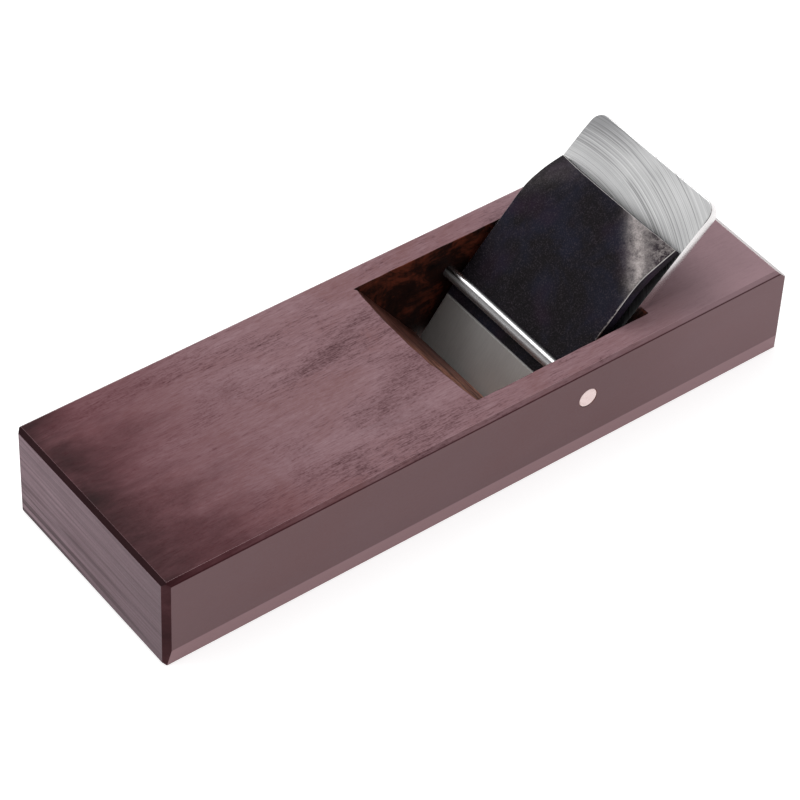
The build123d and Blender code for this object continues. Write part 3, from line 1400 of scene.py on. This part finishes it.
    def throat(self, material: bpy.types.Material) -> bpy.types.Object:
        """Makes the tool that cuts the throat, with shallow chisel facets over its walls.

        Args:
            material: The finish of the throat's walls.

        Returns:
            The tool.
        """
        size = self.size
        shape = NodeShape("chisel_facets", {"Depth": size.facet_depth, "Length": size.facet_length,
                                            "Width": size.facet_width, "Seed": size.facet_seed})
        here = shape.node("GeometryNodeInputPosition", {}, {})
        wide = shape.math("DIVIDE", 1.0, shape.value("Width"))
        stretch = shape.node("ShaderNodeCombineXYZ", {}, {
            0: wide, 1: wide, 2: shape.math("DIVIDE", 1.0, shape.value("Length"))})
        scaled = shape.node("ShaderNodeVectorMath", {"operation": "MULTIPLY"}, {0: here, 1: stretch})
        cells = shape.node("ShaderNodeTexVoronoi", {"voronoi_dimensions": "4D"}, {
            "Vector": scaled, "W": shape.value("Seed"), "Scale": 1.0, "Randomness": 0.9}, "Distance")
        carve = shape.node("GeometryNodeInputNamedAttribute", {"data_type": "FLOAT"}, {"Name": "carve"})
        bowl = 1.0 - shape.math("MINIMUM", cells, 1.0)
        deep = bowl * shape.value("Depth") * carve
        normal = shape.node("GeometryNodeInputNormal", {}, {})
        offset = shape.node("ShaderNodeVectorMath", {"operation": "SCALE"}, {0: normal, "Scale": deep})
        carved = shape.node("GeometryNodeSetPosition", {}, {
            "Geometry": Sock(shape, shape.source.outputs[0]), "Offset": offset})
        tool = shape.run(carved, self.throat_blank(), material, "throat_tool")
        self.flare_rim(tool.data)
        return tool

    def bar_hole(self, material: bpy.types.Material) -> bpy.types.Object:
        """Makes the tool that cuts the bar's hole and the two plug pockets.

        Args:
            material: The finish of the hole's walls.

        Returns:
            The tool.
        """
        gap, rim = self.size.hole_gap, self.size.pocket_break
        inner, outer = self.bar.length / 2, self.high.y
        wide = self.plug.radius + gap
        stations = [
            (inner, self.bar.radius + gap), (inner, wide), (outer - rim, wide),
            (outer + 0.02 * MM, wide + rim), (outer + 1.0 * MM, wide + rim),
        ]
        rings = [(-along, radius) for along, radius in reversed(stations)] + stations
        count = self.size.hole_points
        points, faces = [], []
        for along, radius in rings:
            for step in range(count):
                angle = math.tau * step / count
                points.append((self.bar.centre.x + radius * math.cos(angle), along,
                               self.bar.centre.z + radius * math.sin(angle)))
        for ring in range(len(rings) - 1):
            for step in range(count):
                after = (step + 1) % count
                low, high = ring * count, (ring + 1) * count
                faces.append((low + step, low + after, high + after, high + step))
        faces.append(tuple(range(count)))
        last = (len(rings) - 1) * count
        faces.append(tuple(range(last + count - 1, last - 1, -1)))
        tool = add_object("bar_tool", mesh_of("bar_tool", points, faces))
        tool.data.materials.append(material)
        tidy_mesh(tool.data)
        return tool

    def build(self, outside: Rosewood, inside: CutWood) -> bpy.types.Object:
        """Makes the block and dresses it.

        Args:
            outside: The finish of the block's outer faces.
            inside: The finish of the throat and the hole.

        Returns:
            The piece.
        """
        piece = add_object("plane_block", self.outline())
        finished, bare = outside.material(), inside.material()
        tools = [self.throat(bare), self.bar_hole(bare)]
        for tool in tools:
            tool.data.materials.clear()
            for face in tool.data.polygons:
                face.material_index = 1
        for part in (piece, *tools):
            part.data.materials.append(finished)
            part.data.materials.append(bare)
        subtract(piece, tools)
        tidy_mesh(piece.data, 2e-7)
        shade_by_angle(piece.data, 14.0)
        return finish_piece(piece, Body.BLOCK, Slot.ROSEWOOD, "body")


class Iron:
    """The iron: a flat plate with rounded top corners, broken edges and a bevel ground on its back."""

    def __init__(self, size: IronSize, axes: BladeAxes) -> None:
        """Keeps the sizes and the iron's directions."""
        self.size = size
        self.axes = axes

    def build(self, faces: GroundSteel, edges: EdgeSteel) -> bpy.types.Object:
        """Makes the iron and dresses it.

        Args:
            faces: The finish of its wide faces.
            edges: The finish of its edges.

        Returns:
            The piece.
        """
        size, at = self.size, self.axes.at
        outline = [(0.0, -size.half_width), (0.0, size.half_width)]
        turns = size.corner_points
        for way in (1, -1):
            for step in range(turns + 1):
                angle = math.pi / 2 * (step if way > 0 else turns - step) / turns
                outline.append((
                    size.length - size.corner_radius * (1 - math.sin(angle)),
                    way * (size.half_width - size.corner_radius * (1 - math.cos(angle))),
                ))
        work = bmesh.new()
        push(work, [at(distance, across, 0.0) for distance, across in outline],
             self.axes.outward * -size.thickness)
        grind = math.radians(size.grind_degrees)
        outward = -self.axes.outward * math.cos(grind) - self.axes.upward * math.sin(grind)
        slice_solid(work, at(0, 0, 0), outward)
        bmesh.ops.remove_doubles(work, verts=work.verts, dist=1e-6)
        bmesh.ops.recalc_face_normals(work, faces=work.faces)
        limit = math.radians(size.broken_from_degrees)
        sharp = [edge for edge in work.edges
                 if len(edge.link_faces) == 2 and edge.calc_face_angle(0.0) > limit
                 and min((v.co - self.axes.edge).dot(self.axes.upward) for v in edge.verts) > 0.1 * MM]
        bmesh.ops.bevel(work, geom=sharp, offset=size.edge_break, segments=3, profile=0.5,
                        affect="EDGES", clamp_overlap=True)
        bmesh.ops.recalc_face_normals(work, faces=work.faces)
        for face in work.faces:
            off = abs(face.normal.dot(self.axes.outward))
            face.material_index = 1 if off < 0.75 else 0
        piece = add_object("plane_iron", mesh_from(work, "plane_iron"))
        piece.data.materials.append(faces.material())
        piece.data.materials.append(edges.material())
        shade_by_angle(piece.data, 35.0)
        return finish_piece(piece, Body.IRON, Slot.BRIGHT, "blade")


@dataclass
class PlateSkin:
    """The points of the breaker's mesh, with how bright, worn and rubbed each one is."""

    points: list[Vector] = field(default_factory=list)
    bright: list[float] = field(default_factory=list)
    wear: list[float] = field(default_factory=list)
    fold: list[float] = field(default_factory=list)

    def add(self, point: Vector, bright: float, wear: float, fold: float) -> None:
        """Adds one point.

        Args:
            point: Its place.
            bright: 1 where the plate is ground.
            wear: 1 on a rim, falling to 0 inside it.
            fold: 1 on a bend, falling to 0 away from it.
        """
        self.points.append(point)
        self.bright.append(bright)
        self.wear.append(wear)
        self.fold.append(fold)


class Breaker:
    """The chip breaker: a forged plate with a ground nose and two corners bent down onto the iron."""

    def __init__(self, size: BreakerSize, axes: BladeAxes) -> None:
        """Keeps the sizes and the iron's directions.

        Args:
            size: The breaker's sizes.
            axes: The iron's directions.
        """
        self.size = size
        self.axes = axes
        tilt = math.radians(size.tilt_degrees)
        self.slope = math.tan(tilt)
        self.thick = size.thickness / math.cos(tilt)

    def under(self, distance: float) -> float:
        """Height of the flat plate's underside off the iron."""
        return self.size.gap + (distance - self.size.land_end) * self.slope

    def ear(self, distance: float, across: float, lift: float) -> float:
        """Finds a bent corner's plane.

        Args:
            distance: A place along the plate.
            across: A place across it, on either side's positive half.
            lift: How far the plane is lifted along its own normal.

        Returns:
            The plane's height off the iron there.
        """
        size = self.size
        low_end = size.top - size.ear_along_side
        first = Vector((low_end, size.half_width, self.under(low_end)))
        second = Vector((size.top, size.half_width - size.ear_along_top, self.under(size.top)))
        tip = Vector((size.top, size.half_width, size.gap))
        normal = (second - first).cross(tip - first).normalized()
        normal = normal if normal.z > 0 else -normal
        level = normal.dot(first) + lift
        return (level - normal.x * distance - normal.y * across) / normal.z

    def blend(self, first: float, second: float) -> float:
        """Joins two heights with a rounded fold.

        Args:
            first: A height.
            second: Another.

        Returns:
            The lower of the two, rounded off where they meet.
        """
        reach = self.size.fold_reach
        share = max(0.0, 1.0 - abs(first - second) / reach)
        return min(first, second) - share * share * reach / 4

    def half_width_at(self, distance: float) -> float:
        """Finds half the plate's width.

        Args:
            distance: A place along the plate.

        Returns:
            Half the width there.
        """
        size = self.size
        marks = [size.setback, size.polish_end, size.polish_end + size.thickness, size.top]
        widths = [size.nose_half_width, size.polish_half_width, size.half_width, size.half_width]
        return float(np.interp(distance, marks, widths))

    def marks(self, start: float, end: float, crowd_start: bool) -> list[float]:
        """Spaces places along a line, close together where the plate's rim is rounded.

        Args:
            start: Where the line starts.
            end: Where it ends.
            crowd_start: Whether the start is a rounded rim too.

        Returns:
            The places.
        """
        size = self.size
        rim = [share * size.edge_round for share in (0.0, 0.04, 0.15, 0.35, 0.65, 1.0)]
        first = start + (size.edge_round if crowd_start else 0.0)
        last = end - size.edge_round
        count = round((last - first) / size.mesh_step)
        middle = [first + (last - first) * step / count for step in range(count + 1)]
        before = [start + value for value in rim[:-1]] if crowd_start else []
        return before + middle + [end - value for value in reversed(rim[:-1])]

    def top_height(self, distance: float, across: float, wide: float, fall: float) -> float:
        """Shapes the upper face.

        Args:
            distance: A place along the plate.
            across: A place across it.
            wide: The same without its sign.
            fall: How far the rounded rim drops there.

        Returns:
            The height off the iron.
        """
        size = self.size
        if distance <= size.polish_end:
            rise = (self.under(size.polish_end) + self.thick - size.nose_height) / (
                size.polish_end - size.setback)
            height = size.nose_height + (distance - size.setback) * rise
            return height - fall * min(1.0, height / size.thickness) * size.nose_rounding
        plain = self.under(distance) + self.thick
        bent = self.ear(distance, wide, size.thickness)
        bent -= max(0.0, plain - bent) * size.ear_thinning
        swell = noise.noise(Vector((distance, across, 0.0)) * size.swell_scale) * 0.65
        swell += noise.noise(Vector((distance, across, 0.03)) * size.hammer_scale) * 0.35
        ease = min(1.0, max(0.0, (distance - size.polish_end) / size.swell_fade))
        return self.blend(plain, bent) + swell * size.unevenness * ease - fall

    def skin(self, down: list[float], shares: list[float]) -> PlateSkin:
        """Lays out the upper face's points and then the lower face's.

        Args:
            down: The places along the plate.
            shares: The places across it, at its full width.

        Returns:
            The points.
        """
        size, made = self.size, PlateSkin()
        for upper in (True, False):
            for distance in down:
                for share in shares:
                    half = self.half_width_at(distance)
                    if share > 0:
                        late = max(0.0, (distance - size.top + size.ear_along_side / 2) * 2)
                        half -= size.far_clip * (late / size.ear_along_side) ** size.clip_power
                    across = share / size.half_width * half
                    wide = abs(across)
                    rim = max(0.0, min(half - wide, size.top - distance))
                    inside = min(1.0, rim / size.edge_round)
                    fall = size.edge_round * (1 - math.sqrt(1 - (1 - inside) ** 2))
                    ground = distance <= size.polish_end
                    if upper:
                        height = self.top_height(distance, across, wide, fall)
                        apart = self.under(distance) + self.thick - self.ear(
                            distance, wide, size.thickness)
                        fold = math.exp(-(apart / size.fold_reach - FOLD_PEAK) ** 2 / FOLD_SPREAD)
                        wear = math.exp(-rim / size.wear_reach)
                    else:
                        height = self.blend(self.under(distance), self.ear(distance, wide, 0.0))
                        height = max(height, size.gap)
                        height += min(fall, size.under_break) if distance > size.land_end else 0.0
                        fold = wear = 0.0
                    bright = ground and (upper or distance < size.land_end)
                    made.add(self.axes.at(distance, across, height), float(bright), wear, fold)
        return made

    def close(self, skin: PlateSkin, rows: int, columns: int) -> list[tuple[int, ...]]:
        """Joins the points into a closed plate.

        Args:
            skin: The points of both faces, to which a ring just below the upper rim is added, so
                that only the rim itself is worn.
            rows: How many places there are along the plate.
            columns: How many there are across it.

        Returns:
            The faces.
        """
        def index(side: int, row: int, column: int) -> int:
            """The number of a grid point. Side 0 is the upper face and 1 the lower."""
            return (side * rows + row) * columns + column

        faces = []
        for row in range(rows - 1):
            for column in range(columns - 1):
                corners = ((row, column), (row + 1, column), (row + 1, column + 1), (row, column + 1))
                faces.append(tuple(index(0, *corner) for corner in corners))
                faces.append(tuple(index(1, *corner) for corner in reversed(corners)))
        border = [(row, 0) for row in range(rows)]
        border += [(rows - 1, column) for column in range(1, columns)]
        border += [(row, columns - 1) for row in range(rows - 2, -1, -1)]
        border += [(0, column) for column in range(columns - 2, 0, -1)]
        shelf = len(skin.points)
        for here in border:
            above, below = skin.points[index(0, *here)], skin.points[index(1, *here)]
            deep = (above - below).length
            down = min(0.5, self.size.rim_wear_depth / deep) if deep > 0 else 0.5
            skin.add(above.lerp(below, down), skin.bright[index(0, *here)], 0.0, 0.0)
        for step, here in enumerate(border):
            follow = (step + 1) % len(border)
            after, low, high = border[follow], shelf + step, shelf + follow
            faces.append((index(0, *here), low, high, index(0, *after)))
            faces.append((low, index(1, *here), index(1, *after), high))
        return faces

    def build(self, finish: BlackSteel) -> bpy.types.Object:
        """Makes the breaker and dresses it.

        Args:
            finish: Its finish.

        Returns:
            The piece.
        """
        size = self.size
        nose = self.marks(size.setback, size.polish_end + size.edge_round, False)
        nose = [value for value in nose if value < size.polish_end - 0.1 * MM]
        down = nose + self.marks(size.polish_end, size.top, False)
        shares = self.marks(-size.half_width, size.half_width, True)
        skin = self.skin(down, shares)
        faces = self.close(skin, len(down), len(shares))
        mesh = mesh_of("chip_breaker", skin.points, faces)
        for name in ("bright", "wear", "fold"):
            held = mesh.attributes.new(name, "FLOAT", "POINT")
            held.data.foreach_set("value", getattr(skin, name))
        piece = add_object("breaker_plate", mesh)
        tidy_mesh(piece.data)
        piece.data.materials.append(finish.material())
        shade_by_angle(piece.data, 24.0, crisp=lambda point: abs(
            (point - self.axes.edge).dot(self.axes.upward) - size.polish_end) < 1e-6)
        return finish_piece(piece, Body.BREAKER, Slot.BLACK, "chip_breaker")


class PressureBar:
    """The round bar across the throat, and the pale plugs that close its hole."""

    def __init__(self, bar: TurnedSize, plugs: dict[str, TurnedSize]) -> None:
        """Keeps the sizes of the bar and of the plugs, by CAD node."""
        self.bar = bar
        self.plugs = plugs

    def build(self, steel: BarSteel, wood: PaleWood) -> list[bpy.types.Object]:
        """Makes the bar and the plugs and dresses them.

        Args:
            steel: The bar's finish.
            wood: The plugs' finish.

        Returns:
            The pieces.
        """
        bar = turned_shape("round_bar", steel.material(), self.bar)
        made = [finish_piece(bar, Body.BLOCK, Slot.POLISHED, "pressure_bar")]
        pale = wood.material()
        for node, size in self.plugs.items():
            plug = turned_shape(f"{node}_wood", pale, size)
            made.append(finish_piece(plug, Body.BLOCK, Slot.PALE, node))
        return made


# ---- Stage -------------------------------------------------------------------------------------


@dataclass(frozen=True)
class SoftBox:
    """A soft rectangular light. toward is the direction from the object to it."""

    name: str
    toward: Triple
    distance: float
    width: float
    height: float
    power: float

    def place(self, centre: Vector) -> None:
        """Adds the light.

        Args:
            centre: The point that it faces.
        """
        lamp = bpy.data.lights.new(self.name, "AREA")
        lamp.shape = "RECTANGLE"
        lamp.size = self.width
        lamp.size_y = self.height
        lamp.energy = self.power
        made = bpy.data.objects.new(self.name, lamp)
        way = Vector(self.toward).normalized()
        made.location = centre + way * self.distance
        made.rotation_euler = way.to_track_quat("Z", "Y").to_euler()
        bpy.context.scene.collection.objects.link(made)


@dataclass(frozen=True)
class Studio:
    """A pale floor, an even pale surround, soft lights and the camera."""

    surround: float = 0.76
    azimuth: float = -39.06
    elevation: float = 44.43
    distance: float = 0.83377
    aim: Triple = (-0.00417, -0.00082, 0.01167)
    lens: float = 155.37
    sensor: float = 36.0
    nearest: float = 0.05
    farthest: float = 50.0
    roll: float = 2.96
    floor_reach: float = 4.0
    floor_rings: int = 24
    floor_spokes: int = 96
    floor_drop: float = 0.02 * MM
    lights: tuple[SoftBox, ...] = (
        SoftBox("overhead_right", (0.16, 0.55, 0.82), 1.3, 0.72, 0.8, 6.4),
        SoftBox("far_left", (-0.67, 0.60, 0.46), 1.3, 0.8, 0.6, 1.25),
        SoftBox("overhead_left", (-0.46, 0.08, 0.87), 1.1, 0.40, 0.36, 1.35),
    )

    def floor(self) -> None:
        """Adds the floor."""
        paper = FloorPaper("floor_paper", roughness=0.9, specular=0.2, glow=0.74)
        rings, spokes = self.floor_rings, self.floor_spokes
        points: list[Triple] = [(0.0, 0.0, 0.0)]
        faces: list[tuple[int, ...]] = []
        for ring in range(1, rings + 1):
            reach = self.floor_reach * (ring / rings) ** 2
            for spoke in range(spokes):
                angle = math.tau * spoke / spokes
                points.append((reach * math.cos(angle), reach * math.sin(angle), 0.0))
        for spoke in range(spokes):
            faces.append((0, 1 + spoke, 1 + (spoke + 1) % spokes))
        for ring in range(rings - 1):
            for spoke in range(spokes):
                low, after = 1 + ring * spokes, (spoke + 1) % spokes
                high = low + spokes
                faces.append((low + spoke, high + spoke, high + after, low + after))
        made = add_object("floor", mesh_of("floor", points, faces))
        made.data.transform(Matrix.Translation((0, 0, CAD_BOX[0].z - self.floor_drop)))
        made.data.materials.append(paper.material())

    def world(self) -> None:
        """Adds the even surround, a little darker behind the camera."""
        world = bpy.data.worlds.new("surround")
        world.use_nodes = True
        bpy.context.scene.world = world
        tree = Tree(world.node_tree)
        up = tree.node("ShaderNodeTexCoord", {}, {}, "Generated")
        facing = tree.node("ShaderNodeVectorMath", {"operation": "DOT_PRODUCT"},
                           {0: up, 1: tuple(self.back())}, "Value")
        dark = facing.step(0.55, 0.95)
        colour = tree.mix(dark, (1.0, 1.0, 1.0), (0.30, 0.30, 0.30))
        shader = tree.node("ShaderNodeBackground", {}, {"Color": colour, "Strength": self.surround})
        tree.raw("ShaderNodeOutputWorld", {}, {"Surface": shader})

    def back(self) -> Vector:
        """The direction from the object to the camera."""
        a, e = math.radians(self.azimuth), math.radians(self.elevation)
        return Vector((math.sin(a) * math.cos(e), -math.cos(a) * math.cos(e), math.sin(e)))

    def camera(self) -> None:
        """Adds the camera."""
        lens = bpy.data.cameras.new("camera")
        lens.lens = self.lens
        lens.sensor_width = self.sensor
        lens.clip_start = self.nearest
        lens.clip_end = self.farthest
        made = bpy.data.objects.new("camera", lens)
        back = self.back()
        a, roll = math.radians(self.azimuth), math.radians(self.roll)
        level = Vector((math.cos(a), math.sin(a), 0.0))
        upright = back.cross(level)
        right = level * math.cos(roll) + upright * math.sin(roll)
        turned = Matrix((right, back.cross(right), back)).transposed().to_4x4()
        turned.translation = Vector(self.aim) + back * self.distance
        made.matrix_world = turned
        bpy.context.scene.collection.objects.link(made)
        bpy.context.scene.camera = made

    def build(self) -> None:
        """Adds everything that isn't the plane."""
        self.floor()
        self.world()
        for light in self.lights:
            light.place((CAD_BOX[0] + CAD_BOX[1]) / 2)
        self.camera()
        bpy.context.scene.view_settings.view_transform = "Standard"


# ---- Build -------------------------------------------------------------------------------------


def blade_axes() -> BladeAxes:
    """Reads the iron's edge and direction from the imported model.

    Returns:
        The iron's directions.
    """
    low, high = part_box("blade")
    slide = next(joint for joint in frame["joints"] if joint["child"] == Body.IRON.value)
    upward = Vector(slide["axis"]).normalized()
    outward = Vector((-upward.z, 0.0, upward.x))
    return BladeAxes(Vector((low.x, (low.y + high.y) / 2, low.z)), upward, outward)


def turned_size(node: str, edge_break: float, crown: float) -> TurnedSize:
    """Reads a round node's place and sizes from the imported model."""
    low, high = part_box(node)
    return TurnedSize((low + high) / 2, high.y - low.y, (high.z - low.z) / 2, edge_break, crown)


def main() -> None:
    """Builds the plane and its stage."""
    logging.basicConfig(level=logging.INFO, format="%(name)s: %(message)s")
    axes = blade_axes()
    bar = turned_size("pressure_bar", 0.3 * MM, 0.05 * MM)
    plugs = {node: turned_size(node, 0.12 * MM, 0.05 * MM) for node in ("near_plug", "far_plug")}
    iron = IronSize()
    low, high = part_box("body")
    wood = Rosewood("rosewood_oiled", roughness=0.40, specular=0.05, coat_roughness=0.25,
                    block_low=tuple(low), block_high=tuple(high))
    cut = CutWood("rosewood_cut", roughness=0.62, specular=0.12)
    Block(BlockSize(), axes, iron, bar, plugs["near_plug"]).build(wood, cut)
    ground = GroundSteel("ground_steel", roughness=0.36, metallic=1.0, lean=axes.lean,
                         edge=tuple(axes.edge))
    Iron(iron, axes).build(ground, EdgeSteel("edge_steel", roughness=0.22, metallic=1.0,
                                             lean=axes.lean))
    Breaker(BreakerSize(), axes).build(BlackSteel("black_steel", roughness=0.42, specular=0.055,
                                                  lean=axes.lean))
    PressureBar(bar, plugs).build(BarSteel("bar_steel", roughness=0.20, metallic=1.0),
                                  PaleWood("plug_wood", roughness=0.55, specular=0.35))
    Studio().build()


if __name__ == "__main__":
    main()
